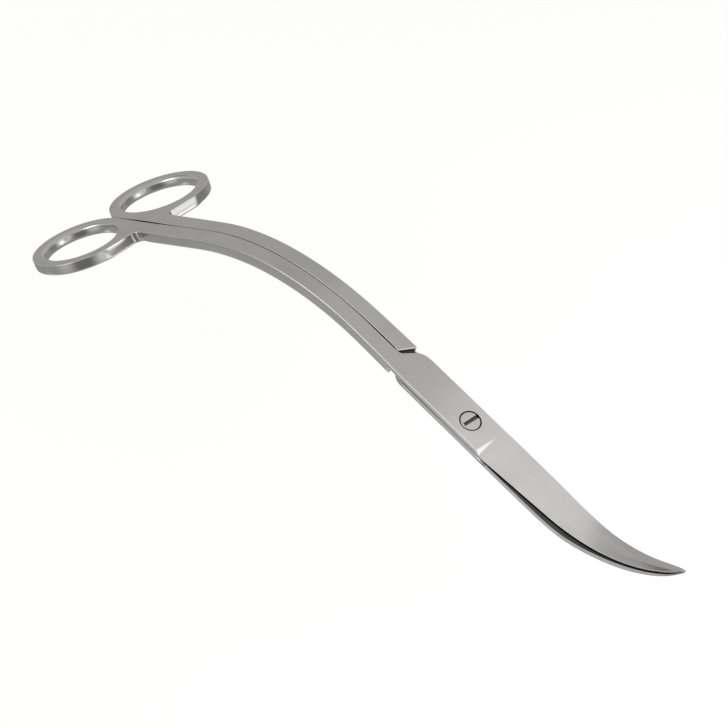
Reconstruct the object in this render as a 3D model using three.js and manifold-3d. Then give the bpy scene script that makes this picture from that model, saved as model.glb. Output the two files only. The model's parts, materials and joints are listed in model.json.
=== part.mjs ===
// Long double-curved wick trimming scissors: two forged halves on one slotted pivot screw.
// Millimetres, +Z up, +X from the finger rings to the blade tip. The closed scissors lie on a
// table, touching it with the ends of both rings and with the belly of the lower blade.
import * as THREE from 'three';
import { mergeVertices } from 'three/addons/utils/BufferGeometryUtils.js';
import Module from 'manifold-3d';

const wasm = await Module();
wasm.setup();

// Stations are lengths along the bent centre line, measured from the pivot.
const TIP_STATION = 83;
const SHANK_BEND = { from: -37.4, to: -116.9, angle: 42.05, easing: 0.12 };
const TIP_BEND = { from: 34.1, to: 84, angle: 57.1, easing: 0.06 };
const BEND_STEP = 2.5;
const PATH_STEP = 0.5;

// Thickness and fit
const HALF_THICKNESS = 1.88;
const LAP_CLEARANCE = 0.16;
const PARTING_CLEARANCE = 0.16;
const PARTING_SWELL = { at: -147, spread: 11, extra: 0.28 };
const EDGE_CHAMFER = 0.55;
const SPINE_CHAMFER = 0.3;

// From the centre line to the face and to the back of shank and ring, as they lie, [station, distance]
const FACE_HEIGHT = [[-139, 1.6], [-117, 1.7], [-77, 1.79], [-38, 1.88], [-30, 1.88]];
const BACK_DEPTH = [[-139, 2.2], [-117, 2.2], [-95, 2.3], [-65, 2.3], [-45, 2], [-38, 1.88], [-30, 1.88]];

// Width of one half on its own side of the parting line, [station, width]
const SHANK_WIDTH = [[-145, 6.4], [-118, 6.05], [-75, 5.4], [-48, 5.45], [-24, 5.85], [-18, 6]];
const SHANK_END = -18;

// Shoulders, where a full-thickness shank hands over to two half-thickness laps, [station, y]
const SHOULDER_ROOT = [-29.1, 0.2];
const SHOULDER_CORNER = [-26.6, 4.2];
const SHOULDER_TANGENT = [-22, 6];
const SHANK_SHOULDER_ROOT = [-30.4, 0];
const SHANK_SHOULDER_TIP = [-27.6, 5.3];

// Blade planform on the spine side and the cutting side, [station, distance from the centre]
const SPINE = [[-20, 6], [28, 6], [42, 5.5], [55, 3.95], [68, 2.65], [76, 1.9], [80, 1.2], [83, 0.3]];
const CUTTING_EDGE = [[-20, 6], [8, 6], [16, 5.6], [40, 4], [62, 2.6], [76, 1.45], [80, 1], [83, 0.6]];
const BLADE_TOP = [[-20, 1.88], [50, 1.88], [62, 1.7], [74, 1.15], [80, 0.7], [83, 0.5]];
const RICASSO = { from: 7.7, to: 8.9 };
const RIDGE_Y = 1.5;
const EDGE_THICKNESS = 0.4;

// Finger rings: slightly oval, each as [along the shank, across it], the lower one a little larger
const UPPER_RING = { station: -162.9, offset: 16.95, outer: [17.3, 16.8], hole: [13.4, 12.6] };
const LOWER_RING = { station: -163.1, offset: 17.5, outer: [18.5, 17.3], hole: [14.2, 13.3] };
const RING_INNER_BULGE = 0.03;
const CROTCH_RADIUS = 2.4;
const RING_BEVEL = 0.35;
const RING_WEB_END = -119;

// Pivot screw
const HEAD_RADIUS = 3.05;
const HEAD_HEIGHT = 1.1;
const HEAD_SINK = 0.05;
const SHAFT_RADIUS = 2;
const SCREW_CLEARANCE = 0.3;
const SLOT_WIDTH = 1.1;
const SLOT_DEPTH = 0.6;
const SLOT_TURN = -5;
const ROUND_SEGMENTS = 40;

// Pitch of the pivot that lays both the lower ring and the belly of the blades on the table
const REST_PITCH = 19.456;

const STEEL = { color: 0x9c9b99, roughness: 0.38, metalness: 1 };
const SCREW_STEEL = { color: 0xa5a4a2, roughness: 0.32, metalness: 1 };
const UPPER = 1;
const LOWER = -1;

/** Share of a bend's angle that is turned after a share of its length, eased at both ends. */
function bendShare(share, easing) {
  const u = THREE.MathUtils.clamp(share, 0, 1);
  const slope = 1 / (1 - easing);
  if (u < easing) return (slope * u * u) / (2 * easing);
  if (u > 1 - easing) return 1 - (slope * (1 - u) ** 2) / (2 * easing);
  return slope * (u - easing / 2);
}

/** Pitch of the centre line at a station, in radians, against the blades at the pivot. */
function pitchAt(station) {
  const bends = [SHANK_BEND, TIP_BEND];
  const turned = bends.map((bend) => {
    const share = (station - bend.from) / (bend.to - bend.from);
    return bend.angle * bendShare(share, bend.easing);
  });
  return THREE.MathUtils.degToRad(turned[0] + turned[1]);
}

/** Point of the bent scissors for a station, a sideways place and a height off the centre line. */
function bent(station, y, height) {
  const steps = Math.max(1, Math.ceil(Math.abs(station) / PATH_STEP));
  const step = station / steps;
  const point = new THREE.Vector3(0, y, 0);
  for (let i = 0; i < steps; i += 1) {
    const pitch = pitchAt((i + 0.5) * step);
    point.x += Math.cos(pitch) * step;
    point.z += Math.sin(pitch) * step;
  }
  const pitch = pitchAt(station);
  point.x -= Math.sin(pitch) * height;
  point.z += Math.cos(pitch) * height;
  return point;
}

/** Smooth curve through [x, value] points, read at x, and held at its end values beyond them. */
function through(points, x) {
  const last = points.length - 1;
  const at = THREE.MathUtils.clamp(x, points[0][0], points[last][0]);
  const i = Math.min(last - 1, Math.max(0, points.findIndex((point) => point[0] >= at) - 1));
  const slope = (k) => {
    const before = points[Math.max(0, k - 1)];
    const after = points[Math.min(last, k + 1)];
    return (after[1] - before[1]) / (after[0] - before[0]);
  };
  const span = points[i + 1][0] - points[i][0];
  const t = (at - points[i][0]) / span;
  const blend = t * t * (3 - 2 * t);
  const start = points[i][1] * (1 - blend) + points[i + 1][1] * blend;
  return start + span * (slope(i) * t * (1 - t) ** 2 - slope(i + 1) * t * t * (1 - t));
}

/** Stations from one end to the other, no further apart than the given step. */
function stationsBetween(from, to, step) {
  const count = Math.ceil((to - from) / step);
  return Array.from({ length: count + 1 }, (_, i) => from + ((to - from) * i) / count);
}

/** Closed skin over convex [y, height] outlines, one at each station, as a solid. */
function loft(stations, outlineAt, side) {
  const positions = [];
  const index = [];
  const outlines = stations.map((station) => outlineAt(station, side));
  const size = outlines[0].length;
  outlines.forEach((outline, i) => {
    outline.forEach(([y, height]) => {
      positions.push(...bent(stations[i], side * y, side * height).toArray());
    });
  });
  for (let i = 0; i < outlines.length - 1; i += 1) {
    for (let j = 0; j < size; j += 1) {
      const a = i * size + j;
      const b = i * size + ((j + 1) % size);
      index.push(a, b, b + size, a, b + size, a + size);
    }
  }
  const end = (outlines.length - 1) * size;
  for (let j = 1; j < size - 1; j += 1) {
    index.push(0, j + 1, j, end, end + j, end + j + 1);
  }
  const geometry = new THREE.BufferGeometry();
  geometry.setAttribute('position', new THREE.Float32BufferAttribute(positions, 3));
  geometry.setIndex(index);
  return solidOf(geometry);
}

/** Solid of a closed three.js geometry. */
function solidOf(geometry) {
  const bare = geometry.clone();
  bare.deleteAttribute('normal');
  bare.deleteAttribute('uv');
  const merged = mergeVertices(bare, 1e-4);
  const vertProperties = new Float32Array(merged.attributes.position.array);
  const triVerts = new Uint32Array(merged.index.array);
  return new wasm.Manifold(new wasm.Mesh({ numProp: 3, vertProperties, triVerts }));
}

/** Named mesh of a finished solid. */
function meshOf(name, solid, look) {
  const result = solid.getMesh();
  const geometry = new THREE.BufferGeometry();
  geometry.setAttribute('position', new THREE.BufferAttribute(result.vertProperties, 3));
  geometry.setIndex(new THREE.BufferAttribute(result.triVerts, 1));
  geometry.computeVertexNormals();
  const mesh = new THREE.Mesh(geometry, new THREE.MeshStandardMaterial(look));
  mesh.name = name;
  return mesh;
}

/** Plate cut from a flat [station, y] outline, between two heights, turned over for the lower half. */
function plate(points, low, high, side) {
  const shape = new THREE.Shape(points.map(([x, y]) => new THREE.Vector2(x, y)));
  const geometry = new THREE.ExtrudeGeometry(shape, { depth: high - low, bevelEnabled: false });
  geometry.translate(0, 0, low);
  if (side === LOWER) geometry.rotateX(Math.PI);
  return solidOf(geometry);
}

/** Upright round bar about the pivot axis. */
function roundBar(radius, low, high) {
  const geometry = new THREE.CylinderGeometry(radius, radius, high - low, ROUND_SEGMENTS);
  geometry.rotateX(Math.PI / 2);
  geometry.translate(0, 0, (low + high) / 2);
  return solidOf(geometry);
}

/** Clearance from the parting line to the shank, a little wider beside the rings. */
function partingAt(station) {
  const away = (station - PARTING_SWELL.at) / PARTING_SWELL.spread;
  return PARTING_CLEARANCE + PARTING_SWELL.extra * Math.exp(-away * away);
}

/**
 * How far shank and ring reach from the centre line, above and below it as a half is drawn.
 * The lower half is drawn face down and then turned over.
 */
function reachAt(station, side) {
  const face = through(FACE_HEIGHT, station);
  const back = through(BACK_DEPTH, station);
  return side === UPPER ? { above: face, below: back } : { above: back, below: face };
}

/** Section of the shank: flat towards the other half, chamfered on the outside. */
function shankOutline(station, side) {
  const outer = -through(SHANK_WIDTH, station);
  const inner = -partingAt(station);
  const { above, below } = reachAt(station, side);
  return [
    [outer + EDGE_CHAMFER, -below], [inner, -below], [inner, above],
    [outer + EDGE_CHAMFER, above], [outer, above - EDGE_CHAMFER], [outer, EDGE_CHAMFER - below],
  ];
}

/** Shank of one half, with its inner half cut away where the other half's lap crosses it. */
function shank(side) {
  const stations = [
    RING_WEB_END - 20,
    ...stationsBetween(SHANK_BEND.to, SHANK_BEND.from, BEND_STEP),
    ...stationsBetween(-33, SHANK_END, 5),
  ];
  const [rootX, rootY] = SHANK_SHOULDER_ROOT;
  const [tipX, tipY] = SHANK_SHOULDER_TIP;
  const slope = (tipX - rootX) / (tipY - rootY);
  const reach = 2 * tipY;
  const window = [
    [rootX - slope, 1], [rootX + slope * reach, -reach], [0, -reach], [0, 1],
  ];
  const crossing = plate(window, -2 * HALF_THICKNESS, LAP_CLEARANCE, side);
  return loft(stations, shankOutline, side).subtract(crossing);
}

/** Shoulder of one half: its lap growing out across the parting line, with a round corner. */
function shoulder(side) {
  const shape = new THREE.Shape();
  shape.moveTo(SHOULDER_ROOT[0] - 1, -PARTING_CLEARANCE);
  shape.lineTo(SHOULDER_ROOT[0] - 1, -3);
  shape.lineTo(SHANK_END, -3);
  shape.lineTo(SHANK_END, SHOULDER_TANGENT[1]);
  shape.lineTo(...SHOULDER_TANGENT);
  shape.quadraticCurveTo(SHOULDER_CORNER[0] + 1.3, SHOULDER_TANGENT[1], ...SHOULDER_CORNER);
  shape.lineTo(...SHOULDER_ROOT);
  const points = shape.getPoints(6).map((point) => [point.x, point.y]);
  return plate(points, LAP_CLEARANCE, HALF_THICKNESS, side);
}

/** Section of lap and blade: whole behind the ricasso, ground to the cutting edge ahead of it. */
function bladeOutline(station) {
  const spine = through(SPINE, station);
  const edge = -through(CUTTING_EDGE, station);
  const along = THREE.MathUtils.clamp((station - RICASSO.to) / (TIP_STATION - RICASSO.to), 0, 1);
  const top = through(BLADE_TOP, station);
  const ground = THREE.MathUtils.clamp((station - RICASSO.from) / (RICASSO.to - RICASSO.from), 0, 1);
  const middle = (spine + edge) / 2;
  const ridge = THREE.MathUtils.lerp(edge + EDGE_CHAMFER, middle + RIDGE_Y * (1 - along), ground);
  const edgeTop = THREE.MathUtils.lerp(top - EDGE_CHAMFER, LAP_CLEARANCE + EDGE_THICKNESS, ground);
  return [
    [edge, LAP_CLEARANCE], [spine, LAP_CLEARANCE], [spine, top - SPINE_CHAMFER],
    [spine - SPINE_CHAMFER, top], [ridge, top], [edge, edgeTop],
  ];
}

/** Lap and blade of one half. */
function blade(side) {
  const stations = [
    SHANK_END - 2, 0, RICASSO.from, RICASSO.to,
    ...stationsBetween(14, TIP_BEND.from, 5),
    ...stationsBetween(TIP_BEND.from + BEND_STEP, TIP_STATION, BEND_STEP),
  ];
  return loft(stations, bladeOutline, side);
}

/** Measures of the finger ring of one half. */
function ringOf(side) {
  return side === UPPER ? UPPER_RING : LOWER_RING;
}

/** Finger ring of one half with its web, before the finger hole is cut, drawn round its centre. */
function ringPlate(side) {
  const { station: centre, offset, outer } = ringOf(side);
  const [along, across] = outer;
  const crotch = centre + along + CROTCH_RADIUS;
  const shankY = offset - through(SHANK_WIDTH, crotch);
  const partingY = offset - PARTING_CLEARANCE;
  const webEnd = RING_WEB_END - centre;
  const shape = new THREE.Shape();
  shape.moveTo(0, partingY);
  shape.lineTo(0, across);
  shape.absellipse(0, 0, along, across, Math.PI / 2, 2 * Math.PI, false);
  shape.lineTo(along, shankY - CROTCH_RADIUS);
  shape.absarc(along + CROTCH_RADIUS, shankY - CROTCH_RADIUS, CROTCH_RADIUS, Math.PI, Math.PI / 2, true);
  shape.lineTo(webEnd, offset - through(SHANK_WIDTH, RING_WEB_END));
  for (const station of stationsBetween(centre, RING_WEB_END, 4).reverse().slice(0, -1)) {
    shape.lineTo(station - centre, offset - partingAt(station));
  }
  const { above, below } = reachAt(centre, side);
  const geometry = new THREE.ExtrudeGeometry(shape, {
    depth: above + below - 2 * RING_BEVEL,
    bevelThickness: RING_BEVEL,
    bevelSize: RING_BEVEL,
    bevelOffset: -RING_BEVEL,
    bevelSegments: 1,
    curveSegments: ROUND_SEGMENTS,
  });
  geometry.translate(0, 0, RING_BEVEL - below);
  return placeAtRing(geometry, side);
}

/** Cutter of the finger hole, narrowest at half height so that the inside is rounded. */
function fingerHole(side) {
  const { station, hole: [along, across] } = ringOf(side);
  const { above, below } = reachAt(station, side);
  const wall = stationsBetween(-1, 1, 1 / 3).map((share) => {
    const height = THREE.MathUtils.lerp(-below, above, (share + 1) / 2);
    return new THREE.Vector2(1 - RING_INNER_BULGE * (1 - share * share), height);
  });
  const profile = [
    new THREE.Vector2(0, -2 * below), new THREE.Vector2(1, -2 * below),
    ...wall,
    new THREE.Vector2(1, 2 * above), new THREE.Vector2(0, 2 * above),
  ];
  const geometry = new THREE.LatheGeometry(profile, ROUND_SEGMENTS);
  geometry.rotateX(Math.PI / 2);
  geometry.scale(along, across, 1);
  return placeAtRing(geometry, side);
}

/** Puts a flat geometry, drawn round the centre of a ring, into the bent scissors as a solid. */
function placeAtRing(geometry, side) {
  const { station, offset } = ringOf(side);
  const centre = bent(station, 0, 0);
  geometry.translate(0, -offset, 0);
  if (side === LOWER) geometry.rotateX(Math.PI);
  geometry.rotateY(-pitchAt(station));
  geometry.translate(centre.x, centre.y, centre.z);
  return solidOf(geometry);
}

/** One whole half before the screw holes. */
function half(side) {
  return shank(side)
    .add(ringPlate(side))
    .add(shoulder(side))
    .add(blade(side))
    .subtract(fingerHole(side));
}

/** Upper half, which holds the recess for the screw head. */
function upperHalf() {
  const recessFloor = HALF_THICKNESS - HEAD_SINK - HEAD_HEIGHT - SCREW_CLEARANCE;
  const recess = roundBar(HEAD_RADIUS + SCREW_CLEARANCE, recessFloor, 2 * HALF_THICKNESS);
  const hole = roundBar(SHAFT_RADIUS + SCREW_CLEARANCE, -HALF_THICKNESS, 2 * HALF_THICKNESS);
  return meshOf('upper_half', half(UPPER).subtract(recess).subtract(hole), STEEL);
}

/** Lower half, which takes the end of the screw. */
function lowerHalf() {
  const hole = roundBar(SHAFT_RADIUS + SCREW_CLEARANCE, -2 * HALF_THICKNESS, HALF_THICKNESS);
  return meshOf('lower_half', half(LOWER).subtract(hole), STEEL);
}

/** Slotted pivot screw, its head nearly flush with the upper half. */
function pivotScrew() {
  const headTop = HALF_THICKNESS - HEAD_SINK;
  const head = roundBar(HEAD_RADIUS, headTop - HEAD_HEIGHT, headTop);
  const shaft = roundBar(SHAFT_RADIUS, HEAD_SINK - HALF_THICKNESS, headTop - HEAD_HEIGHT / 2);
  const slot = new THREE.BoxGeometry(SLOT_WIDTH, 3 * HEAD_RADIUS, 2 * SLOT_DEPTH);
  slot.rotateZ(THREE.MathUtils.degToRad(SLOT_TURN));
  slot.translate(0, 0, headTop);
  return meshOf('pivot_screw', head.add(shaft).subtract(solidOf(slot)), SCREW_STEEL);
}

const scissors = new THREE.Group();
scissors.add(upperHalf(), lowerHalf(), pivotScrew());
scissors.rotation.y = THREE.MathUtils.degToRad(REST_PITCH);

// The part's origin is under the middle of the closed scissors, on the table.
const extent = new THREE.Box3().setFromObject(scissors, true);
const middle = extent.getCenter(new THREE.Vector3());
scissors.position.set(-middle.x, -middle.y, -extent.min.z);

const part = new THREE.Group();
part.add(scissors);

export default part;
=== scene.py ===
"""Long double-curved wick trimming scissors: two forged halves turning on a slotted pivot screw.

Every piece is modelled flat, in millimetres: x is the station along the centre line, measured from
the pivot, y is the place across it and z is the height off it. Forging then bends the piece over
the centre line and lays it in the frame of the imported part, in metres.
"""
import json
import logging
import math
from contextlib import contextmanager
from dataclasses import dataclass, field
from enum import Enum
from typing import Callable, Iterator, Sequence

import bmesh
import bpy
from mathutils import Matrix, Quaternion, Vector


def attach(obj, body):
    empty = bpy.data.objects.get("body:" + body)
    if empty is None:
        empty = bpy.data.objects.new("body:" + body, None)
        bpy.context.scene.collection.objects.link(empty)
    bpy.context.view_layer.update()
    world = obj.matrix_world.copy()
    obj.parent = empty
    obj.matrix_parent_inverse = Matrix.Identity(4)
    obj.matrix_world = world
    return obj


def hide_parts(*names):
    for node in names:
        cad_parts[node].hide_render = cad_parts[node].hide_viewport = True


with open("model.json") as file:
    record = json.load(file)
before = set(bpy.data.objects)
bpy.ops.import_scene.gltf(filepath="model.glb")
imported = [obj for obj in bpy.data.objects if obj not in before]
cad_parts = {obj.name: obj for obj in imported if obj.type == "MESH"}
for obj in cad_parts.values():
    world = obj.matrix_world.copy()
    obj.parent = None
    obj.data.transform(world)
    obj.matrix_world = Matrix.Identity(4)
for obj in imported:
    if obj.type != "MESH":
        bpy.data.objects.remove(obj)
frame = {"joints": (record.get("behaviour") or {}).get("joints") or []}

MM = 0.001
WELD = 0.0005  # vertices closer than this are doubles
CUT_SNAP = 0.02  # vertices closer than this to a cut lie on it
FLAT_WEIGHT = 80  # pull of the large faces on the shading
FACING = 0.9  # least share of a direction that counts as facing it
RING_START = -139.0  # station at which the shank widens into its ring
SHANK_BEND = (-37.4, -116.9)
TIP_BEND = (34.1, 84.0)
ROOM_LEVEL = 0.5
LOG = logging.getLogger("scissors")

Point = tuple[float, float]
PlaceTest = Callable[[Vector, Vector], bool]
Radius = Callable[[Vector, Vector], float]


class Side(Enum):
    """Which half a piece belongs to: the lower one is the upper one turned over."""

    UPPER = 1
    LOWER = -1


class Skin(Enum):
    """Finish of a face of a half, as the index of its material. The inner faces in the gap and the
    screw's recess carry dark colours that paint shade, and the rounded edges carry a lighter
    colour that also paints part of their highlight.
    """

    SATIN = 0
    EDGE = 1
    PAINTED_GAP_SHADE = 2
    BUFFED = 3
    RECESS = 4


# ---------------------------------------------------------------- bench work


def let_go() -> None:
    """Deselects every object."""
    bpy.ops.object.select_all(action="DESELECT")


def take(piece: bpy.types.Object) -> None:
    """Selects a piece alone and makes it the active one."""
    let_go()
    piece.select_set(True)
    bpy.context.view_layer.objects.active = piece


@contextmanager
def editing(piece: bpy.types.Object, kind: str = "FACE") -> Iterator[None]:
    """Holds a piece in edit mode with nothing selected.

    Args:
        piece: the mesh object to edit.
        kind: what is selected, VERT, EDGE or FACE.

    Returns:
        A context in which the edit-mode operators act on the piece.
    """
    take(piece)
    bpy.ops.object.mode_set(mode="EDIT")
    bpy.ops.mesh.select_mode(type=kind)
    bpy.ops.mesh.select_all(action="DESELECT")
    yield
    bpy.ops.object.mode_set(mode="OBJECT")


def pick_faces(piece: bpy.types.Object, wanted: PlaceTest) -> None:
    """Selects the faces of the piece in edit mode that pass a test.

    Args:
        piece: the mesh object in edit mode.
        wanted: test on a face's centre and normal.
    """
    mesh = bmesh.from_edit_mesh(piece.data)
    for face in mesh.faces:
        face.select_set(wanted(face.calc_center_median(), face.normal))
    bmesh.update_edit_mesh(piece.data)


def pick_edges(piece: bpy.types.Object, wanted: PlaceTest) -> None:
    """Selects the edges of the piece in edit mode that pass a test.

    Args:
        piece: the mesh object in edit mode.
        wanted: test on an edge's middle and direction.
    """
    mesh = bmesh.from_edit_mesh(piece.data)
    for edge in mesh.edges:
        start, end = (vertex.co for vertex in edge.verts)
        edge.select_set(wanted((start + end) / 2, (end - start).normalized()))
    bmesh.update_edit_mesh(piece.data)


def cut_across(piece: bpy.types.Object, start: Point, end: Point, wanted: PlaceTest) -> None:
    """Cuts the picked faces of a flat blank along an upright plane through two points.

    Args:
        piece: the mesh object to cut.
        start: one point of the cut, as station and place across.
        end: another point of the cut.
        wanted: test on the centre and normal of the faces to cut.
    """
    along = Vector((end[0] - start[0], end[1] - start[1], 0)).normalized()
    with editing(piece):
        pick_faces(piece, wanted)
        bpy.ops.mesh.bisect(
            plane_co=(*start, 0), plane_no=(along.y, -along.x, 0), threshold=CUT_SNAP
        )


def everywhere(centre: Vector, normal: Vector) -> bool:
    """Picks every face."""
    return True


def cut_with(piece: bpy.types.Object, cutter: bpy.types.Object) -> None:
    """Cuts the space of a closed cutter out of a piece and clears the cutter away."""
    change = piece.modifiers.new("cut", "BOOLEAN")
    change.operation = "DIFFERENCE"
    change.solver = "EXACT"
    change.object = cutter
    finish_with(piece, change)
    bpy.data.objects.remove(cutter)


def finish_with(piece: bpy.types.Object, change: bpy.types.Modifier) -> None:
    """Applies one modifier of a piece."""
    take(piece)
    bpy.ops.object.modifier_apply(modifier=change.name)


def settle(piece: bpy.types.Object) -> None:
    """Puts a piece's place into its mesh, so that its object sits at the origin."""
    take(piece)
    bpy.ops.object.transform_apply(location=True, rotation=True, scale=True)


def recalculate(piece: bpy.types.Object) -> None:
    """Merges doubled vertices and turns every face outwards."""
    with editing(piece):
        bpy.ops.mesh.select_all(action="SELECT")
        bpy.ops.mesh.remove_doubles(threshold=WELD)
        bpy.ops.mesh.normals_make_consistent(inside=False)


def weigh_edges(piece: bpy.types.Object, least_turn: float, radius: Radius) -> None:
    """Writes the radius of every outward edge as its bevel weight.

    Args:
        piece: the mesh object to finish.
        least_turn: turn between two faces, in degrees, from which their edge is rounded.
        radius: gives the radius for an edge's middle and direction.
    """
    mesh = bmesh.new()
    mesh.from_mesh(piece.data)
    weights = mesh.edges.layers.float.new("bevel_weight_edge")
    for edge in mesh.edges:
        turn = math.degrees(edge.calc_face_angle(0)) if len(edge.link_faces) == 2 else 0
        if edge.is_convex and turn > least_turn:
            start, end = (vertex.co for vertex in edge.verts)
            edge[weights] = radius((start + end) / 2, (end - start).normalized())
    mesh.to_mesh(piece.data)
    mesh.free()


def round_edges(piece: bpy.types.Object, segments: int, skin: int) -> None:
    """Rounds the weighted edges of a piece, the weight being the radius in millimetres.

    Args:
        piece: the mesh object to finish.
        segments: steps across each rounding.
        skin: index of the material that the roundings get.
    """
    change = piece.modifiers.new("rounding", "BEVEL")
    change.limit_method = "WEIGHT"
    change.width = 1
    change.segments = segments
    change.use_clamp_overlap = False
    change.material = skin
    finish_with(piece, change)


def smooth_faces(piece: bpy.types.Object, angle: float) -> None:
    """Shades a piece smooth up to an angle in degrees, with its large faces staying flat."""
    take(piece)
    bpy.ops.object.shade_smooth_by_angle(angle=math.radians(angle))
    change = piece.modifiers.new("flats", "WEIGHTED_NORMAL")
    change.keep_sharp = True
    change.weight = FLAT_WEIGHT
    finish_with(piece, change)


# ------------------------------------------------------------- shared curves


def through(points: Sequence[Point], x: float) -> float:
    """Reads a smooth curve through points at one place.

    Args:
        points: places and values, in order of place.
        x: the place to read, held within the points.

    Returns:
        The curve's value there.
    """
    last = len(points) - 1
    at = min(max(x, points[0][0]), points[last][0])
    i = 0
    while i < last - 1 and points[i + 1][0] < at:
        i += 1

    def slope(k: int) -> float:
        """Slope of the curve at one of its points."""
        before, after = points[max(0, k - 1)], points[min(last, k + 1)]
        return (after[1] - before[1]) / (after[0] - before[0])

    span = points[i + 1][0] - points[i][0]
    t = (at - points[i][0]) / span
    blend = t * t * (3 - 2 * t)
    level = points[i][1] * (1 - blend) + points[i + 1][1] * blend
    return level + span * (slope(i) * t * (1 - t) ** 2 - slope(i + 1) * t * t * (1 - t))


def between(start: float, end: float, step: float) -> list[float]:
    """Even places from one to another, both included, at most a step apart."""
    count = max(1, math.ceil(abs(end - start) / step - 1e-6))
    return [start + (end - start) * i / count for i in range(count + 1)]


def ramp(x: float, start: float, end: float) -> float:
    """Goes smoothly from 0 at one place to 1 at another."""
    t = min(max((x - start) / (end - start), 0), 1)
    return t * t * (3 - 2 * t)


@dataclass(frozen=True)
class Bend:
    """One bend of the centre line.

    Args:
        start: station where it begins.
        end: station where it is complete.
        angle: its whole angle in degrees.
        easing: share of its length over which the curvature sets in.
    """

    start: float
    end: float
    angle: float
    easing: float

    def turned(self, station: float) -> float:
        """Angle in degrees that is turned up to a station."""
        u = min(max((station - self.start) / (self.end - self.start), 0), 1)
        slope = 1 / (1 - self.easing)
        if u < self.easing:
            share = slope * u * u / (2 * self.easing)
        elif u > 1 - self.easing:
            share = 1 - slope * (1 - u) ** 2 / (2 * self.easing)
        else:
            share = slope * (u - self.easing / 2)
        return self.angle * share


@dataclass(frozen=True)
class CentreLine:
    """Bent centre line of the scissors, level at the pivot before the scissors are laid down.

    Args:
        shank: bend that takes the shanks down to the rings.
        tip: bend that takes the blades up to the tip.
        seat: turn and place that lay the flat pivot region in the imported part.
        step: length of one step along the line.
    """

    shank: Bend
    tip: Bend
    seat: Matrix
    step: float = 0.5

    def pitch(self, station: float) -> float:
        """Climb of the line at a station, in radians."""
        return math.radians(self.shank.turned(station) + self.tip.turned(station))

    def foot(self, station: float) -> Vector:
        """Point of the line at a station, in millimetres."""
        steps = max(1, math.ceil(abs(station) / self.step))
        step = station / steps
        pitches = [self.pitch((i + 0.5) * step) for i in range(steps)]
        return Vector((
            step * sum(math.cos(pitch) for pitch in pitches), 0,
            step * sum(math.sin(pitch) for pitch in pitches),
        ))

    def bend(self, piece: bpy.types.Object) -> None:
        """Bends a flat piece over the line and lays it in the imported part, in metres.

        Args:
            piece: the mesh object, flat and in millimetres.
        """
        grain = piece.data.attributes.new("grain", "FLOAT_VECTOR", "POINT")
        feet: dict[float, Vector] = {}
        for vertex in piece.data.vertices:
            flat = vertex.co.copy()
            grain.data[vertex.index].vector = flat
            station = round(flat.x, 4)
            foot = feet.setdefault(station, None) or self.foot(station)
            feet[station] = foot
            pitch = self.pitch(station)
            off = Vector((-math.sin(pitch) * flat.z, flat.y, math.cos(pitch) * flat.z))
            vertex.co = self.seat @ ((foot + off) * MM)


# ------------------------------------------------------------------ finishes


def fill(node: bpy.types.Node, **values: object) -> None:
    """Sets inputs of a node, whose names are given with underscores for spaces."""
    for name, value in values.items():
        node.inputs[name.replace("_", " ")].default_value = value


@dataclass(frozen=True)
class Steel:
    """A metal finish with grinding marks that run along the forging.

    Args:
        name: what the finish is called.
        light: base colour of its lighter streaks.
        dark: base colour of its darker streaks.
        smooth: lowest roughness.
        rough: highest roughness.
        grain: size of the marks along, across and through the forging, in millimetres.
        relief: depth given to the marks, as strength of the bump.
        depth: distance that the bump stands for, in millimetres.
        cloud_size: size of the soft patches, in millimetres.
        cloud_share: share that the patches have in the tone, against the marks.
        spread: noise values that give the darkest and the lightest tone.
    """

    name: str
    light: tuple[float, float, float]
    dark: tuple[float, float, float]
    smooth: float
    rough: float
    grain: tuple[float, float, float] = (9.0, 0.16, 0.3)
    relief: float = 0.045
    depth: float = 0.02
    cloud_size: float = 1 / 0.11
    cloud_share: float = 0.45
    spread: tuple[float, float] = (0.3, 0.7)

    def noise(
        self, tree: bpy.types.NodeTree, place: bpy.types.NodeSocket, scale: float, detail: float
    ) -> bpy.types.NodeSocket:
        """Adds a noise to the material.

        Args:
            tree: the node tree of the material.
            place: where the noise is read.
            scale: how fine it is.
            detail: how many finer layers it has.

        Returns:
            The noise's value, around a half.
        """
        node = tree.nodes.new("ShaderNodeTexNoise")
        fill(node, Scale=scale, Detail=detail)
        tree.links.new(place, node.inputs["Vector"])
        return node.outputs["Fac"]

    def material(self) -> bpy.types.Material:
        """Builds the material.

        Returns:
            A node material on the grain attribute.
        """
        material = bpy.data.materials.new(self.name)
        material.use_nodes = True
        nodes, links = material.node_tree.nodes, material.node_tree.links
        shader = nodes["Principled BSDF"]
        fill(shader, Metallic=1)
        place = nodes.new("ShaderNodeAttribute")
        place.attribute_name = "grain"
        stretched = nodes.new("ShaderNodeMapping")
        fill(stretched, Scale=[1 / size for size in self.grain])
        links.new(place.outputs["Vector"], stretched.inputs["Vector"])
        marks = self.noise(material.node_tree, stretched.outputs["Vector"], 1, 3)
        clouds = self.noise(material.node_tree, place.outputs["Vector"], 1 / self.cloud_size, 2)
        share = nodes.new("ShaderNodeMix")
        fill(share, Factor=self.cloud_share)
        links.new(marks, share.inputs["A"])
        links.new(clouds, share.inputs["B"])
        tone = nodes.new("ShaderNodeValToRGB")
        for stop, position, colour in zip(
            tone.color_ramp.elements, self.spread, (self.dark, self.light)
        ):
            stop.position = position
            stop.color = (*colour, 1)
        links.new(share.outputs["Result"], tone.inputs["Fac"])
        links.new(tone.outputs["Color"], shader.inputs["Base Color"])
        gloss = nodes.new("ShaderNodeMapRange")
        fill(gloss, From_Min=self.spread[0], From_Max=self.spread[1])
        fill(gloss, To_Min=self.rough, To_Max=self.smooth)
        links.new(share.outputs["Result"], gloss.inputs["Value"])
        links.new(gloss.outputs["Result"], shader.inputs["Roughness"])
        bump = nodes.new("ShaderNodeBump")
        fill(bump, Strength=self.relief, Distance=self.depth * MM)
        links.new(marks, bump.inputs["Height"])
        links.new(bump.outputs["Normal"], shader.inputs["Normal"])
        return material


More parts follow.
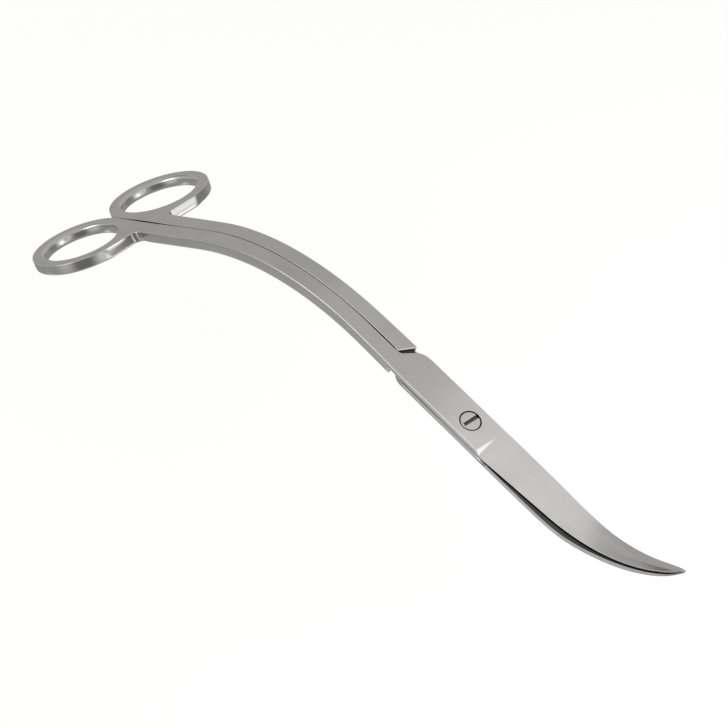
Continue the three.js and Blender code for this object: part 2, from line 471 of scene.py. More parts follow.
SATIN = Steel("satin_forged_steel", (0.66, 0.655, 0.645), (0.58, 0.575, 0.57), 0.22, 0.31)
# The rounded edges are polished steel, and their lighter base colour also paints part of the
# bright highlight lines along them.
EDGE = Steel("polished_edge_painted_highlight", (0.78, 0.775, 0.765), (0.7, 0.695, 0.69), 0.2, 0.28, relief=0.03)
# Near-black base colour of the inner faces paints the shade in the narrow gap between the halves;
# it is not the steel's own colour.
PAINTED_GAP_SHADE = Steel("inner_face_painted_shade", (0.09, 0.09, 0.09), (0.05, 0.05, 0.05), 0.16, 0.24)
BUFFED = Steel(
    "buffed_ring_wall", (0.68, 0.675, 0.665), (0.6, 0.595, 0.59), 0.14, 0.22, relief=0.03
)
RECESS = Steel("recess_shade", (0.2, 0.2, 0.2), (0.12, 0.12, 0.12), 0.4, 0.6)
TURNED = Steel(
    "turned_screw_steel", (0.66, 0.655, 0.65), (0.56, 0.555, 0.55), 0.22, 0.32,
    grain=(0.2, 0.2, 0.3),
)
SLOT_SHADE = Steel("slot_shade", (0.2, 0.195, 0.19), (0.1, 0.1, 0.1), 0.35, 0.5)


# -------------------------------------------------------------------- pieces


@dataclass(frozen=True)
class Ring:
    """Measures of a finger ring, slightly oval.

    Args:
        station: station of its centre.
        offset: distance of its centre from the parting line.
        outer: half lengths of its outline, along and across.
        hole: half lengths of the finger hole, along and across.
    """

    station: float
    offset: float
    outer: Point
    hole: Point

    def inside(self, place: Vector, margin: float) -> bool:
        """Whether a flat place lies within the finger hole widened by a share."""
        u = (place.x - self.station) / self.hole[0]
        v = (place.y + self.offset) / self.hole[1]
        return math.hypot(u, v) < margin


@dataclass(frozen=True)
class Roundings:
    """Radii in millimetres to which the edges of a half are rounded.

    Args:
        seat: rims of the screw's recess and hole.
        crisp: parting edges, and the upper outline of the ring.
        ring_below, ring_crotch: what the ring's lower outer edge gains, and loses at the crotch.
        hole_below, hole_above: lower rim of the finger hole, and what the upper one gains.
        corner_outside, corner_inside: upright corners.
        shank, shank_thin: outer edges of the shank, and what they lose towards the rings.
        window: edges at the end of the shank, beside the lap.
        lap_end, lap_below: lower edges of the lap, at its softened end and elsewhere.
        lap_near: upper edge of the lap on the outer side.
        shoulder: upper edge of the shoulder.
        spine, spine_share: most for the spine's upper edge, and share of the blade's thickness.
        cutting: cutting edge.
    """

    seat: float = 0.08
    crisp: float = 0.2
    ring_below: float = 0.7
    ring_crotch: float = 0.28
    hole_below: float = 0.6
    hole_above: float = 0.75
    corner_outside: float = 1.05
    corner_inside: float = 0.12
    shank: float = 0.62
    shank_thin: float = 0.2
    window: float = 0.35
    lap_end: float = 0.5
    lap_below: float = 0.1
    lap_near: float = 0.42
    shoulder: float = 0.32
    spine: float = 0.28
    spine_share: float = 0.4
    cutting: float = 0.08


@dataclass
class ForgedHalf:
    """One half of the scissors: finger ring, shank, lap and blade in one forging.

    It is drawn as the upper half. The lower half is the same forging turned over, with its own
    ring and a tapped hole instead of the recess of the screw head. Lengths are in millimetres,
    and curves are points of station and value.

    Args:
        side, ring, line: which half it is, its finger ring and the line it is bent over.
        radii: radii of its edges.
        lap_gap, half_thickness: distance to the lap's inner and outer face.
        face_heights, back_depths: reach of shank and ring up and down.
        parting_gap: clearance from the parting line to the shank.
        parting_swell: place, spread and size of the wider gap between the rings.
        parting_relief, relief_span: what the gap gains beside the lap, and over which stations.
        shank_width: width of the shank.
        spine, cutting, top: the blade's back, its edge and its upper face.
        shoulder: outline from the blade's back to the parting line.
        window: line that the shank's full thickness ends on, by two points.
        ricasso: stations of the edge's start, the ridge's end and the ground face.
        ridge: place across at which the ridge begins.
        edge_land: thickness of the cutting edge.
        crotch_radius: radius between ring and shank.
        outside_from: place across beyond which an edge lies on the outer side.
        hole_swell: share by which the wall of the finger hole swells inwards.
        hole_loops: heights of its edge loops, from -1 at the bottom to 1 at the top.
        draft_step: how far the ring's wall leans out beside the shank.
        draft_from, draft_to: turns in degrees over which it begins and stops to lean.
        draft_end: how far ahead of the ring's centre it leans at most.
        hone_from: stations over which the honed facet of the tip begins.
        hone_share, hone_rise: place of its upper edge in the ground face, and how far it rises.
        bend_step, tip_step: distance between stations in the two bends.
        head_radius, shaft_radius: radii of the screw.
        recess_clearance, recess_floor: gap around its head and height of the recess's floor.
        shaft_clearance: gap around its shaft, in the upper and in the lower half.
        tip: station of the tip.
        blade_columns: how many lines run along the blade.
        stations: places of the cuts across, filled in with the outline.
    """

    side: Side
    ring: Ring
    line: CentreLine
    radii: Roundings = Roundings()
    lap_gap: float = 0.13
    half_thickness: float = 1.88
    face_heights: Sequence[Point] = (
        (-139, 1.6), (-117, 1.7), (-77, 1.79), (-38, 1.88), (-30, 1.88),
    )
    back_depths: Sequence[Point] = (
        (-139, 2.2), (-117, 2.2), (-95, 2.3), (-65, 2.3), (-45, 2.0), (-38, 1.88), (-30, 1.88),
    )
    parting_gap: float = 0.13
    parting_swell: tuple[float, float, float] = (-147, 11, 0.3)
    parting_relief: float = 0.1
    relief_span: Point = (-52, -36)
    shank_width: Sequence[Point] = (
        (-145, 6.4), (-118, 6.05), (-75, 5.4), (-48, 5.45), (-24, 5.85), (-18, 6),
    )
    spine: Sequence[Point] = (
        (-22, 6), (28, 6), (42, 5.5), (55, 3.95), (68, 2.65), (76, 1.9), (80, 1.2), (83, 0.3),
    )
    cutting: Sequence[Point] = (
        (-18, 6), (8, 6), (16, 5.6), (40, 4), (62, 2.6), (76, 1.45), (80, 1), (83, 0.6),
    )
    top: Sequence[Point] = ((-20, 1.88), (50, 1.88), (62, 1.7), (74, 1.15), (80, 0.7), (83, 0.5))
    shoulder: Sequence[Point] = (
        (-21.4, 6), (-22.9, 5.92), (-24.1, 5.65), (-25.1, 5.22), (-25.85, 4.7), (-26.4, 4.1),
        (-29.0, 0.35), (-29.6, 0.02),
    )
    window: tuple[Point, Point] = ((-30.4, 0), (-27.6, -5.3))
    ricasso: tuple[float, float, float] = (7.9, 8.7, 9.3)
    ridge: float = 1.5
    edge_land: float = 0.4
    crotch_radius: float = 2.4
    outside_from: float = -1.2
    hole_swell: float = 0.025
    hole_loops: Sequence[float] = (-1, -0.45, 0, 0.45, 1)
    draft_step: float = 0.6
    draft_from: Point = (-14, -5)
    draft_to: Point = (34, 46)
    draft_end: float = 22
    hone_from: Point = (56, 68)
    hone_share: float = 0.5
    hone_rise: float = 0.3
    bend_step: float = 2.5
    tip_step: float = 1.5
    head_radius: float = 3.05
    recess_clearance: float = 0.36
    recess_floor: float = 0.45
    shaft_radius: float = 2.0
    shaft_clearance: Point = (0.12, 0.07)
    tip: float = 83.0
    blade_columns: int = 7
    stations: list[float] = field(default_factory=list)

    def name(self) -> str:
        """Name of the CAD node that this half stands for."""
        return "upper_half" if self.side is Side.UPPER else "lower_half"

    def parting(self, station: float) -> float:
        """Clearance from the parting line to the shank, wider beside the rings."""
        at, spread, extra = self.parting_swell
        wide = self.parting_gap + extra * math.exp(-(((station - at) / spread) ** 2))
        return wide + self.parting_relief * ramp(station, *self.relief_span)

    def shank_reach(self, station: float, way: int) -> float:
        """Distance from the centre line to the top or the underside of shank and ring.

        Args:
            station: the station to measure at.
            way: 1 for the side drawn upwards, -1 for the side drawn downwards.

        Returns:
            The distance, which is greater on the side that lies down.
        """
        faces_up = way == self.side.value
        return through(self.face_heights if faces_up else self.back_depths, station)

    def outline(self) -> list[Point]:
        """Outline of the forging, once round from the tip along the spine.

        Returns:
            Flat points, each a station and a place across.
        """
        bend, tight = TIP_BEND[0], 70
        blade = [
            self.ricasso[2], *between(13, bend, 5), *between(bend, tight, self.tip_step)[1:],
            *between(tight, self.tip, 1)[1:],
        ]
        straight, bent = SHANK_BEND
        shank = [
            *between(RING_START, bent, 6), *between(bent, straight, self.bend_step)[1:],
            -34.5, -32,
        ]
        self.stations = shank + blade
        centre, offset = self.ring.station, self.ring.offset
        along, across = self.ring.outer
        points = [(s, through(self.spine, s)) for s in reversed(blade[1:])]
        points.append((self.ricasso[1], 6))
        points += list(self.shoulder)
        points += [(s, -self.parting(s)) for s in reversed(shank)]
        points += [(s, -self.parting(s)) for s in between(-142, centre + 1, 3)]
        for turn in map(math.radians, between(90, 360, 3)):
            points.append((centre + along * math.cos(turn), across * math.sin(turn) - offset))
        radius = self.crotch_radius
        crotch = centre + along + radius
        edge = -through(self.shank_width, crotch)
        for turn in map(math.radians, between(180, 90, 11.25)):
            x = crotch + radius * math.cos(turn)
            points.append((x, edge - radius + radius * math.sin(turn)))
        points += [(s, -through(self.shank_width, s)) for s in shank]
        points += [(s, -through(self.shank_width, s)) for s in (-26, -22)]
        points += [(self.ricasso[0], -6)]
        points += [(s, -through(self.cutting, s)) for s in blade]
        return points

    def ahead_of_window(self, place: Vector) -> float:
        """Distance by which a flat place lies ahead of the window line, along the stations."""
        (root_x, root_y), (tip_x, tip_y) = self.window
        slope = (tip_x - root_x) / (tip_y - root_y)
        return place.x - (root_x + slope * (place.y - root_y))

    def blank(self) -> bpy.types.Object:
        """Lays out the flat blank: a disc drawn out to the outline and cut at the stations.

        Returns:
            The flat sheet, one face thick.
        """
        points = self.outline()
        let_go()
        bpy.ops.mesh.primitive_circle_add(vertices=len(points), radius=1, fill_type="NGON")
        piece = bpy.context.object
        piece.name = piece.data.name = f"{self.name()}_forged"
        for vertex, (station, y) in zip(piece.data.vertices, points):
            vertex.co = (station, y, 0)
        for station in self.stations:
            if station != self.ricasso[2]:
                cut_across(piece, (station, 0), (station, 1), everywhere)
        ground = (self.ricasso[2], -through(self.cutting, self.ricasso[2]))
        cut_across(piece, (self.ricasso[1], 6), ground, self.along(-20, 12))
        cut_across(piece, *self.window, self.along(-32, 2))
        at_ring = self.along(-math.inf, RING_START)
        cut_across(piece, (self.ring.station, 0), (self.ring.station, 1), at_ring)
        cut_across(piece, (0, -self.ring.offset), (1, -self.ring.offset), at_ring)
        return piece

    @staticmethod
    def along(start: float, end: float) -> PlaceTest:
        """Test that picks what lies between two stations."""
        return lambda centre, normal: start < centre.x < end

    def ridge_place(self, station: float) -> float:
        """Place across at which the ground face of the blade begins."""
        along = min(max((station - self.ricasso[2]) / (self.tip - self.ricasso[2]), 0), 1)
        middle = (through(self.spine, station) - through(self.cutting, station)) / 2
        return middle + self.ridge * (1 - along)

    def lay_columns(self, piece: bpy.types.Object) -> None:
        """Gives the blade lines along its length: one on the ridge, the rest in the ground face.

        Args:
            piece: the flat blank, cut at the stations.
        """
        first = self.ricasso[1] - 0.05
        with editing(piece, "EDGE"):
            pick_edges(piece, lambda middle, way: middle.x > first and abs(way.y) > FACING)
            bpy.ops.mesh.subdivide(number_cuts=self.blade_columns)
            mesh = bmesh.from_edit_mesh(piece.data)
            rows: dict[int, list] = {}
            for vertex in mesh.verts:
                if vertex.select:
                    rows.setdefault(self.row_of(vertex.co), []).append(vertex)
            for row in rows.values():
                self.slide_row(row)
            bmesh.update_edit_mesh(piece.data)

    def row_of(self, place: Vector) -> int:
        """Index of the station that a vertex of the blade belongs to."""
        if place.x < self.ricasso[2] + 0.05:
            return -1
        return min(range(len(self.stations)), key=lambda i: abs(self.stations[i] - place.x))

    def slide_row(self, row: list) -> None:
        """Slides the vertices across the blade at one station to their columns.

        Args:
            row: the row's vertices, in any order.
        """
        row.sort(key=lambda vertex: -vertex.co.y)
        spine, edge = row[0].co.copy(), row[-1].co.copy()
        ridge = Vector((edge.x, self.ridge_place(edge.x), 0))
        if edge.x < self.ricasso[2] + 0.05:
            ridge = Vector((self.ricasso[1], self.ridge, 0))
        row[1].co = spine.lerp(ridge, 0.5)
        ground = row[2:]
        for i, vertex in enumerate(ground):
            vertex.co = ridge.lerp(edge, i / (len(ground) - 1))

    def thicken(self, piece: bpy.types.Object) -> None:
        """Raises the sheet to its upper face and takes shank and ring down to their lower face.

        Args:
            piece: the flat sheet.
        """
        for vertex in piece.data.vertices:
            vertex.co.z = self.lap_gap
        with editing(piece):
            bpy.ops.mesh.select_all(action="SELECT")
            bpy.ops.mesh.extrude_region_move(
                TRANSFORM_OT_translate={"value": (0, 0, self.half_thickness - self.lap_gap)}
            )
            bpy.ops.mesh.select_all(action="SELECT")
            bpy.ops.mesh.normals_make_consistent(inside=False)
            pick_faces(piece, lambda centre, normal: (
                normal.z < -FACING and self.ahead_of_window(centre) < 0 and centre.x < -27
            ))
            bpy.ops.mesh.extrude_region_move(
                TRANSFORM_OT_translate={"value": (0, 0, -self.half_thickness - self.lap_gap)}
            )
            bpy.ops.mesh.select_all(action="SELECT")
            bpy.ops.mesh.normals_make_consistent(inside=False)

    def connect_ricasso(self, piece: bpy.types.Object) -> None:
        """Joins the ridge's end to the near edge, which outlines the small facet of the ricasso.

        Args:
            piece: the flat sheet with its columns.
        """
        wanted = (Vector((self.ricasso[1], self.ridge, 0)), Vector((self.ricasso[0], -6, 0)))
        with editing(piece, "VERT"):
            mesh = bmesh.from_edit_mesh(piece.data)
            for place in wanted:
                min(mesh.verts, key=lambda vertex: (vertex.co - place).length).select_set(True)
            bmesh.update_edit_mesh(piece.data)
            bpy.ops.mesh.vert_connect_path()

    def upper_face(self, place: Vector) -> float:
        """Height of the upper face above a flat place.

        Args:
            place: flat place on the forging.

        Returns:
            Height above the centre line.
        """
        if place.x < self.ricasso[0] + 0.05:
            return self.shank_reach(place.x, 1)
        top = through(self.top, place.x)
        ridge = self.ridge_place(place.x)
        if place.x < self.ricasso[2] + 0.05:
            ridge = self.ridge
        edge = -through(self.cutting, place.x)
        share = min(max((ridge - place.y) / (ridge - edge), 0), 1)
        rise = self.hone_rise * ramp(place.x, *self.hone_from)
        crown = min(share / self.hone_share, (1 - share) / (1 - self.hone_share))
        return top + (self.lap_gap + self.edge_land - top) * (share - rise * crown)

    def grind(self, piece: bpy.types.Object) -> None:
        """Brings the faces to their heights: shank and ring thinner, blade ground to its edge.

        Args:
            piece: the thick blank.
        """
        middle = (self.half_thickness + self.lap_gap) / 2
        for vertex in piece.data.vertices:
            if vertex.co.z > middle:
                vertex.co.z = self.upper_face(vertex.co)
            elif vertex.co.z < -self.lap_gap:
                vertex.co.z = -self.shank_reach(vertex.co.x, -1)
            if vertex.co.z * self.side.value < 0:
                vertex.co += self.draft(vertex.co)

    def draft(self, place: Vector) -> Vector:
        """Step outwards of the ring's lower edge beside the shank, where its wall leans out.

        Args:
            place: flat place on the outline.

        Returns:
            The step to add to the place.
        """
        away = Vector((place.x - self.ring.station, place.y + self.ring.offset, 0))
        turn = math.degrees(math.atan2(away.y, away.x))
        if away.length < 0.9 * self.ring.outer[1] or away.x > self.draft_end:
            return Vector((0, 0, 0))
        share = ramp(turn, *self.draft_from) * (1 - ramp(turn, *self.draft_to))
        return away.normalized() * self.draft_step * share

    def pierce(self, piece: bpy.types.Object) -> None:
        """Cuts the finger hole and the seat of the screw.

        Args:
            piece: the ground blank.
        """
        cut_with(piece, self.finger_cutter())
        reach = 3 * self.half_thickness
        loose, tight = self.shaft_clearance
        if self.side is Side.UPPER:
            head = self.head_radius + self.recess_clearance
            cut_with(piece, round_bar(head, self.recess_floor, reach, 64))
            cut_with(piece, round_bar(self.shaft_radius + loose, -reach, reach, 48))
        else:
            cut_with(piece, round_bar(self.shaft_radius + tight, -reach, reach, 48))

    def finger_cutter(self) -> bpy.types.Object:
        """Cutter of the finger hole: a bar with a waist, so that the wall swells inwards.

        Returns:
            The closed cutter.
        """
        top = self.shank_reach(self.ring.station, 1)
        bottom = -self.shank_reach(self.ring.station, -1)
        middle, reach = (top + bottom) / 2, (top - bottom) / 2
        bar = round_bar(1, 3 * bottom, 3 * top, 96)
        for share in self.hole_loops:
            with editing(bar):
                bpy.ops.mesh.select_all(action="SELECT")
                bpy.ops.mesh.bisect(plane_co=(0, 0, middle + share * reach), plane_no=(0, 0, 1))
        for vertex in bar.data.vertices:
            share = min(abs(vertex.co.z - middle) / reach, 1)
            size = 1 - self.hole_swell * (1 - share * share)
            vertex.co.x = self.ring.station + vertex.co.x * self.ring.hole[0] * size
            vertex.co.y = vertex.co.y * self.ring.hole[1] * size - self.ring.offset
        return bar

    def rounding(self, middle: Vector, way: Vector) -> float:
        """Radius in millimetres to which an outward edge is rounded.

        Args:
            middle: middle of the edge.
            way: direction of the edge.

        Returns:
            The radius, 0 to leave the edge sharp.
        """
        radii = self.radii
        outside = middle.y < self.outside_from
        if math.hypot(middle.x, middle.y) < self.head_radius + 0.5:
            return radii.seat if abs(middle.z) > 1 else 0
        if middle.x < RING_START:
            return self.ring_rounding(middle, outside)
        if abs(way.z) > 0.8:
            return radii.corner_outside if outside and middle.x < 0 else radii.corner_inside
        if middle.x < self.window[1][0] - 1 or middle.z < 0:
            if not outside:
                return radii.crisp
            if self.ahead_of_window(middle) > -0.4:
                return radii.window
            return radii.shank - radii.shank_thin * ramp(middle.x, -112, -74)
        if middle.z < self.lap_gap + 0.05:
            if -26 < middle.x < -22 and outside:
                return radii.lap_end
            return radii.lap_below if middle.x < self.ricasso[0] else 0
        if middle.x > self.ricasso[0] and middle.y < self.ridge_place(middle.x):
            return radii.cutting
        if outside:
            return radii.lap_near
        if middle.x < -20:
            return radii.shoulder
        thickness = through(self.top, middle.x) - self.lap_gap
        return min(radii.spine, radii.spine_share * thickness)

    def ring_rounding(self, middle: Vector, outside: bool) -> float:
        """Radius to which an edge of the ring is rounded.

        Args:
            middle: middle of the edge.
            outside: whether it lies on the outer side of the forging.

        Returns:
            The radius in millimetres.
        """
        radii = self.radii
        lies_down = middle.z * self.side.value < 0
        if self.ring.inside(middle, 1.03):
            if lies_down:
                return radii.hole_below
            along, across = middle.x - self.ring.station, middle.y + self.ring.offset
            return radii.crisp + radii.hole_above * ramp(-along - 0.6 * across, -14, 10)
        if not outside or not lies_down:
            return radii.crisp
        return self.rim_rounding(middle)

    def rim_rounding(self, place: Vector) -> float:
        """Radius to which the ring's lower outer edge is rounded, growing away from the shanks.

        Args:
            place: flat place on that edge.

        Returns:
            The radius in millimetres.
        """
        along, across = place.x - self.ring.station, place.y + self.ring.offset
        turn = math.degrees(math.atan2(across, along)) % 360
        if along > self.ring.outer[0] - 1 and across > 0:
            turn = 360
        grown = self.radii.ring_below * ramp(turn, 111, 215)
        return self.radii.crisp + grown - self.radii.ring_crotch * ramp(turn, 270, 350)

    def assign_skins(self, piece: bpy.types.Object) -> None:
        """Gives each face the material of its place, the rounded edges keeping theirs: painted
        shade for the screw's recess and for the inner faces in the gap, buffed steel for the ring
        walls.

        Args:
            piece: the rounded forging, still flat.
        """
        for face in piece.data.polygons:
            centre, normal = face.center, face.normal
            if math.hypot(centre.x, centre.y) < self.head_radius + 0.4 and centre.z < 1.8:
                if abs(normal.z) < 0.5 or centre.z > self.lap_gap + 0.1:
                    face.material_index = Skin.RECESS.value
                    continue
            if face.material_index == Skin.EDGE.value:
                continue
            inner = abs(centre.z - self.lap_gap) < 0.02 and centre.x > -32
            ring_wall = centre.x < RING_START - 2 and centre.y < self.outside_from
            # Inner faces in the gap between the halves get the near-black painted shade.
            if inner and normal.z < -FACING:
                face.material_index = Skin.PAINTED_GAP_SHADE.value
            elif ring_wall and abs(normal.z) < FACING:
                face.material_index = Skin.BUFFED.value

    def build(self) -> bpy.types.Object:
        """Builds the half.

        Returns:
            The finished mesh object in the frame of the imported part.
        """
        piece = self.blank()
        self.lay_columns(piece)
        self.connect_ricasso(piece)
        self.thicken(piece)
        self.grind(piece)
        self.pierce(piece)
        recalculate(piece)
        weigh_edges(piece, 28, self.rounding)
        # Materials by index: satin faces, polished edges whose lighter colour also paints part of
        # their highlight, painted shade for the inner faces in the gap, buffed ring walls, painted
        # shade for the screw's recess.
        for finish in (SATIN, EDGE, PAINTED_GAP_SHADE, BUFFED, RECESS):
            piece.data.materials.append(finish.material())
        round_edges(piece, segments=4, skin=Skin.EDGE.value)
        recalculate(piece)
        self.assign_skins(piece)
        if self.side is Side.LOWER:
            piece.rotation_euler.x = math.pi
            settle(piece)
        self.line.bend(piece)
        smooth_faces(piece, 32)
        body = "upper_body" if self.side is Side.UPPER else "lower_body"
        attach(piece, body)
        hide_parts(self.name())
        return piece


def round_bar(radius: float, low: float, high: float, sides: int) -> bpy.types.Object:
    """Upright round bar about the pivot.

    Args:
        radius: its radius.
        low: height of its lower end.
        high: height of its upper end.
        sides: number of its sides.

    Returns:
        The bar as a closed mesh object at the origin.
    """
    let_go()
    bpy.ops.mesh.primitive_cylinder_add(
        vertices=sides, radius=radius, depth=high - low, location=(0, 0, (low + high) / 2)
    )
    bar = bpy.context.object
    settle(bar)
    return bar


@dataclass
class PivotScrew:
    """Slotted screw that holds the halves together. Lengths are in millimetres.

    Args:
        line: the centre line on which it sits.
        head_radius, head_top, head_height: size and place of its head.
        shaft_radius, shaft_end: size of its shaft.
        rim_radius, slot_radius, end_radius: roundings of the rim, the slot and the end.
        slot_width, slot_depth, slot_turn: size of the slot, and its turn in degrees.
        slot_from, slot_middle: places across at which it begins and is deepest.
    """

    line: CentreLine
    head_radius: float = 3.05
    head_top: float = 1.83
    head_height: float = 1.1
    shaft_radius: float = 2.0
    shaft_end: float = -1.84
    rim_radius: float = 0.2
    slot_radius: float = 0.1
    end_radius: float = 0.3
    slot_width: float = 1.1
    slot_depth: float = 0.85
    slot_turn: float = -5.0
    slot_from: float = -2.5
    slot_middle: float = 1.2

    def slot_cutter(self) -> bpy.types.Object:
        """Saw blade that cuts the slot, so that its floor rises to the closed end.

        Returns:
            The closed cutter.
        """
        chord = self.slot_middle - self.slot_from
        radius = (chord ** 2 + self.slot_depth ** 2) / (2 * self.slot_depth)
        let_go()
        bpy.ops.mesh.primitive_cylinder_add(
            vertices=128, radius=radius, depth=self.slot_width,
            location=(0, self.slot_middle, self.head_top - self.slot_depth + radius),
            rotation=(0, math.pi / 2, 0),
        )
        saw = bpy.context.object
        settle(saw)
        saw.rotation_euler.z = math.radians(self.slot_turn)
        settle(saw)
        return saw

    def rounding(self, middle: Vector, way: Vector) -> float:
        """Radius in millimetres to which an outward edge is rounded."""
        if middle.z < 0:
            return self.end_radius
        rim = math.hypot(middle.x, middle.y) > self.head_radius - 0.05
        return self.rim_radius if rim else self.slot_radius

    def build(self) -> bpy.types.Object:
        """Builds the screw.

        Returns:
            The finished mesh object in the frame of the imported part.
        """
        below = self.head_top - self.head_height
        piece = round_bar(self.head_radius, below, self.head_top, 96)
        piece.name = piece.data.name = "pivot_screw_turned"
        with editing(piece):
            pick_faces(piece, lambda centre, normal: normal.z < -FACING)
            bpy.ops.mesh.inset(thickness=self.head_radius - self.shaft_radius)
            bpy.ops.mesh.extrude_region_move(
                TRANSFORM_OT_translate={"value": (0, 0, self.shaft_end - below)}
            )
        cut_with(piece, self.slot_cutter())
        recalculate(piece)
        weigh_edges(piece, 34, self.rounding)
        for finish in (TURNED, SLOT_SHADE):
            piece.data.materials.append(finish.material())
        round_edges(piece, segments=3, skin=0)
        # The slot's inner faces get the dark slot material, which paints the shade inside the
        # slot.
        for face in piece.data.polygons:
            inside = math.hypot(face.center.x, face.center.y) < self.head_radius - 0.1
            if inside and 0 < face.center.z < self.head_top - 0.07:
                face.material_index = 1
        self.line.bend(piece)
        smooth_faces(piece, 35)
        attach(piece, "lower_body")
        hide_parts("pivot_screw")
        return piece


# -------------------------------------------------------------------- studio


@dataclass(frozen=True)
class Softbox:
    """A square soft light that faces the scissors.

    Args:
        name: what it is called.
        aim: the point that it faces, in metres.
        azimuth: its direction from that point, in degrees from +X.
        elevation: its height above that point, in degrees.
        distance: its distance in metres.
        size: its width and height in metres.
        brightness: how bright its face is, where 1 is a white that lies in full light.
    """

    name: str
    aim: tuple[float, float, float]
    azimuth: float
    elevation: float
    distance: float
    size: Point
    brightness: float

    def hang(self) -> bpy.types.Object:
        """Hangs the light.

        Returns:
            The light object.
        """
        data = bpy.data.lights.new(self.name, "AREA")
        data.shape = "RECTANGLE"
        data.size, data.size_y = self.size
        data.energy = self.brightness * math.pi * data.size * data.size_y
        light = bpy.data.objects.new(self.name, data)
        bpy.context.scene.collection.objects.link(light)
        away = direction(self.azimuth, self.elevation)
        light.location = Vector(self.aim) + away * self.distance
        light.rotation_euler = (-away).to_track_quat("-Z", "Y").to_euler()
        light.visible_camera = False
        return light


def direction(azimuth: float, elevation: float) -> Vector:
    """Unit vector towards an azimuth and an elevation in degrees."""
    turn, rise = math.radians(azimuth), math.radians(elevation)
    level = math.cos(rise)
    return Vector((level * math.cos(turn), level * math.sin(turn), math.sin(rise)))


@dataclass(frozen=True)
class Zone:
    """A part of the room that is lighter or darker than the rest.

    Args:
        azimuth: direction of its middle, in degrees from +X.
        elevation: height of its middle, in degrees.
        core: angle from its middle up to which it has its whole effect, in degrees.
        edge: angle from its middle beyond which it has none, in degrees.
        level: how bright it is.
    """

    azimuth: float
    elevation: float
    core: float
    edge: float
    level: float

    def lay_over(
        self, tree: bpy.types.NodeTree, way: bpy.types.NodeSocket,
        under: bpy.types.NodeSocket | None,
    ) -> bpy.types.NodeSocket:
        """Lays the zone over what is there.

        Args:
            tree: the node tree of the room.
            way: the direction that is looked in.
            under: the brightness so far, or None for a room of brightness ROOM_LEVEL.

        Returns:
            The brightness with this zone in it.
        """
        dot = tree.nodes.new("ShaderNodeVectorMath")
        dot.operation = "DOT_PRODUCT"
        dot.inputs[1].default_value = direction(self.azimuth, self.elevation)
        tree.links.new(way, dot.inputs[0])
        share = tree.nodes.new("ShaderNodeMapRange")
        share.interpolation_type = "SMOOTHSTEP"
        far, near = (math.cos(math.radians(turn)) for turn in (self.edge, self.core))
        fill(share, From_Min=far, From_Max=near)
        tree.links.new(dot.outputs["Value"], share.inputs["Value"])
        mix = tree.nodes.new("ShaderNodeMix")
        fill(mix, A=ROOM_LEVEL, B=self.level)
        if under is not None:
            tree.links.new(under, mix.inputs["A"])
        tree.links.new(share.outputs["Result"], mix.inputs["Factor"])
        return mix.outputs["Result"]


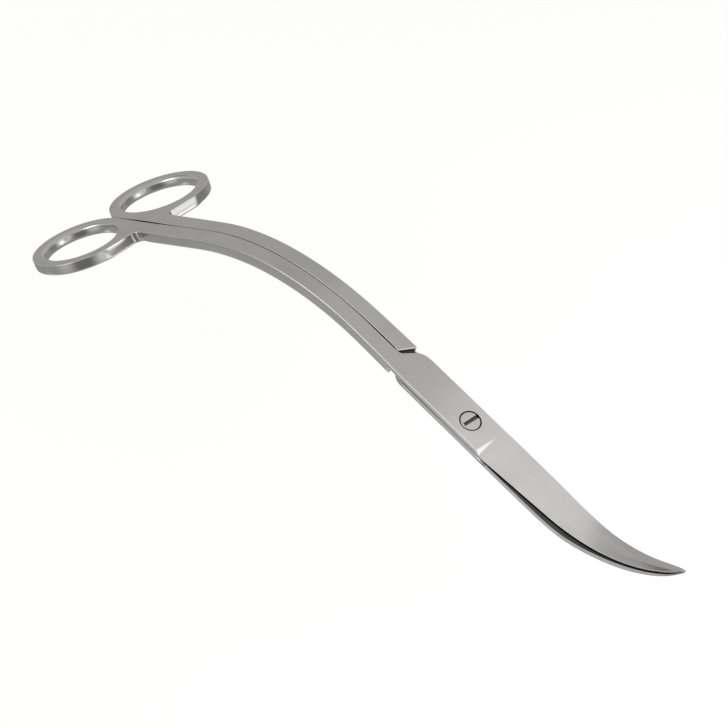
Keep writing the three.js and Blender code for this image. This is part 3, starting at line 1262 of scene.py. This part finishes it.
@dataclass
class Studio:
    """Pale table, soft lights and the camera.

    Args:
        seat: turn and place of the pivot region, in whose frame the camera stands.
        aim: the point that the camera looks at.
        azimuth, elevation, distance: where the camera stands from there, degrees and metres.
        roll, lens, sensor: the camera's turn in degrees, its lens and its sensor in millimetres.
        floor_size, floor_height: side and height of the table in metres.
        floor_tone: colour of the table.
        floor_glow: colour and strength of its own light, which thins the shadows.
        room_tone: colour of the room's light.
        boxes: the soft lights.
        zones: lighter and darker parts of the room, each laid over those before it.
    """

    seat: Matrix
    aim: tuple[float, float, float] = (-0.033778, -0.010525, 0.0)
    azimuth: float = -62.8590
    elevation: float = 54.1434
    distance: float = 0.582349
    roll: float = 21.8229
    lens: float = 98.229
    sensor: float = 36
    floor_size: float = 12.0
    floor_height: float = -0.046
    floor_tone: tuple[float, float, float] = (0.45, 0.45, 0.443)
    floor_glow: tuple[float, float, float, float] = (1, 1, 0.985, 0.72)
    room_tone: tuple[float, float, float] = (1, 0.997, 0.99)
    boxes: Sequence[Softbox] = (
        Softbox("front_softbox", (0, 0, 0), -105, 33, 1.1, (1.0, 0.5), 1.4),
        Softbox("overhead_card", (0.196, 0.135, 0.02), 90, 90, 0.12, (0.3, 0.38), 0.41),
        Softbox("shank_card", (-0.007, 0.05, 0.02), 90, 90, 0.12, (0.085, 0.08), 0.1),
    )
    zones: Sequence[Zone] = (
        Zone(0, -90, 78, 93, 0.375),
        Zone(-124, -50, 6, 16, 0.78),
        Zone(178, 24, 8, 17, 0.18),
        Zone(-86, 0, 10, 28, 0.68),
        Zone(-40, 0, 12, 30, 0.18),
        Zone(20, 12, 20, 34, 0.85),
        Zone(24, 0, 5, 11, 1.9),
        Zone(66, 0, 14, 30, 0.28),
    )

    def camera(self) -> None:
        """Sets up the camera."""
        data = bpy.data.cameras.new("camera")
        data.lens = self.lens
        data.sensor_width = self.sensor
        camera = bpy.data.objects.new("camera", data)
        bpy.context.scene.collection.objects.link(camera)
        away = direction(self.azimuth, self.elevation)
        level = (-away).to_track_quat("-Z", "Y")
        turned = level @ Quaternion((0, 0, 1), math.radians(self.roll))
        place = Matrix.Translation(Vector(self.aim) + away * self.distance)
        camera.matrix_world = self.seat @ place @ turned.to_matrix().to_4x4()
        bpy.context.scene.camera = camera

    def floor(self) -> bpy.types.Object:
        """Lays the pale table, low enough for the ring that swings down as the scissors open.

        Returns:
            The table's mesh object.
        """
        let_go()
        bpy.ops.mesh.primitive_plane_add(size=self.floor_size, location=(0, 0, self.floor_height))
        table = bpy.context.object
        table.name = "pale_table"
        settle(table)
        material = bpy.data.materials.new("pale_table")
        material.use_nodes = True
        shader = material.node_tree.nodes["Principled BSDF"]
        fill(shader, Base_Color=(*self.floor_tone, 1), Roughness=0.9, Specular_IOR_Level=0.1)
        *glow, strength = self.floor_glow
        fill(shader, Emission_Color=(*glow, 1), Emission_Strength=strength)
        table.data.materials.append(material)
        table.visible_glossy = False
        return table

    def surroundings(self) -> None:
        """Lights the room, with its lighter and darker zones."""
        world = bpy.data.worlds.new("room")
        world.use_nodes = True
        bpy.context.scene.world = world
        nodes, links = world.node_tree.nodes, world.node_tree.links
        place = nodes.new("ShaderNodeTexCoord")
        level = None
        for zone in self.zones:
            level = zone.lay_over(world.node_tree, place.outputs["Generated"], level)
        links.new(level, nodes["Background"].inputs["Strength"])
        fill(nodes["Background"], Color=(*self.room_tone, 1))

    def build(self) -> None:
        """Builds the whole studio."""
        self.camera()
        self.floor()
        self.surroundings()
        for box in self.boxes:
            box.hang()
        bpy.context.scene.view_settings.view_transform = "Standard"


def centre_line() -> CentreLine:
    """Centre line of the scissors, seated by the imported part's own joint.

    Returns:
        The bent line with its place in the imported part.
    """
    joint = frame["joints"][0]
    axis = Vector(joint["axis"])
    pitch = math.atan2(axis.x, axis.z)
    seat = Matrix.Translation(Vector(joint["pos_m"])) @ Matrix.Rotation(pitch, 4, "Y")
    return CentreLine(Bend(*SHANK_BEND, 42.05, 0.12), Bend(*TIP_BEND, 57.1, 0.06), seat)


def main() -> None:
    """Builds the scissors and the studio, and reports each piece."""
    logging.basicConfig(level=logging.INFO, format="%(message)s")
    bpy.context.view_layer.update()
    line = centre_line()
    halves = (
        ForgedHalf(Side.UPPER, Ring(-162.9, 16.95, (17.3, 16.8), (13.4, 12.6)), line),
        ForgedHalf(Side.LOWER, Ring(-163.1, 17.5, (18.5, 17.3), (14.2, 13.3)), line),
    )
    for maker in (*halves, PivotScrew(line)):
        piece = maker.build()
        LOG.info("%s: %d faces", piece.name, len(piece.data.polygons))
    Studio(line.seat).build()


if __name__ == "__main__":
    main()
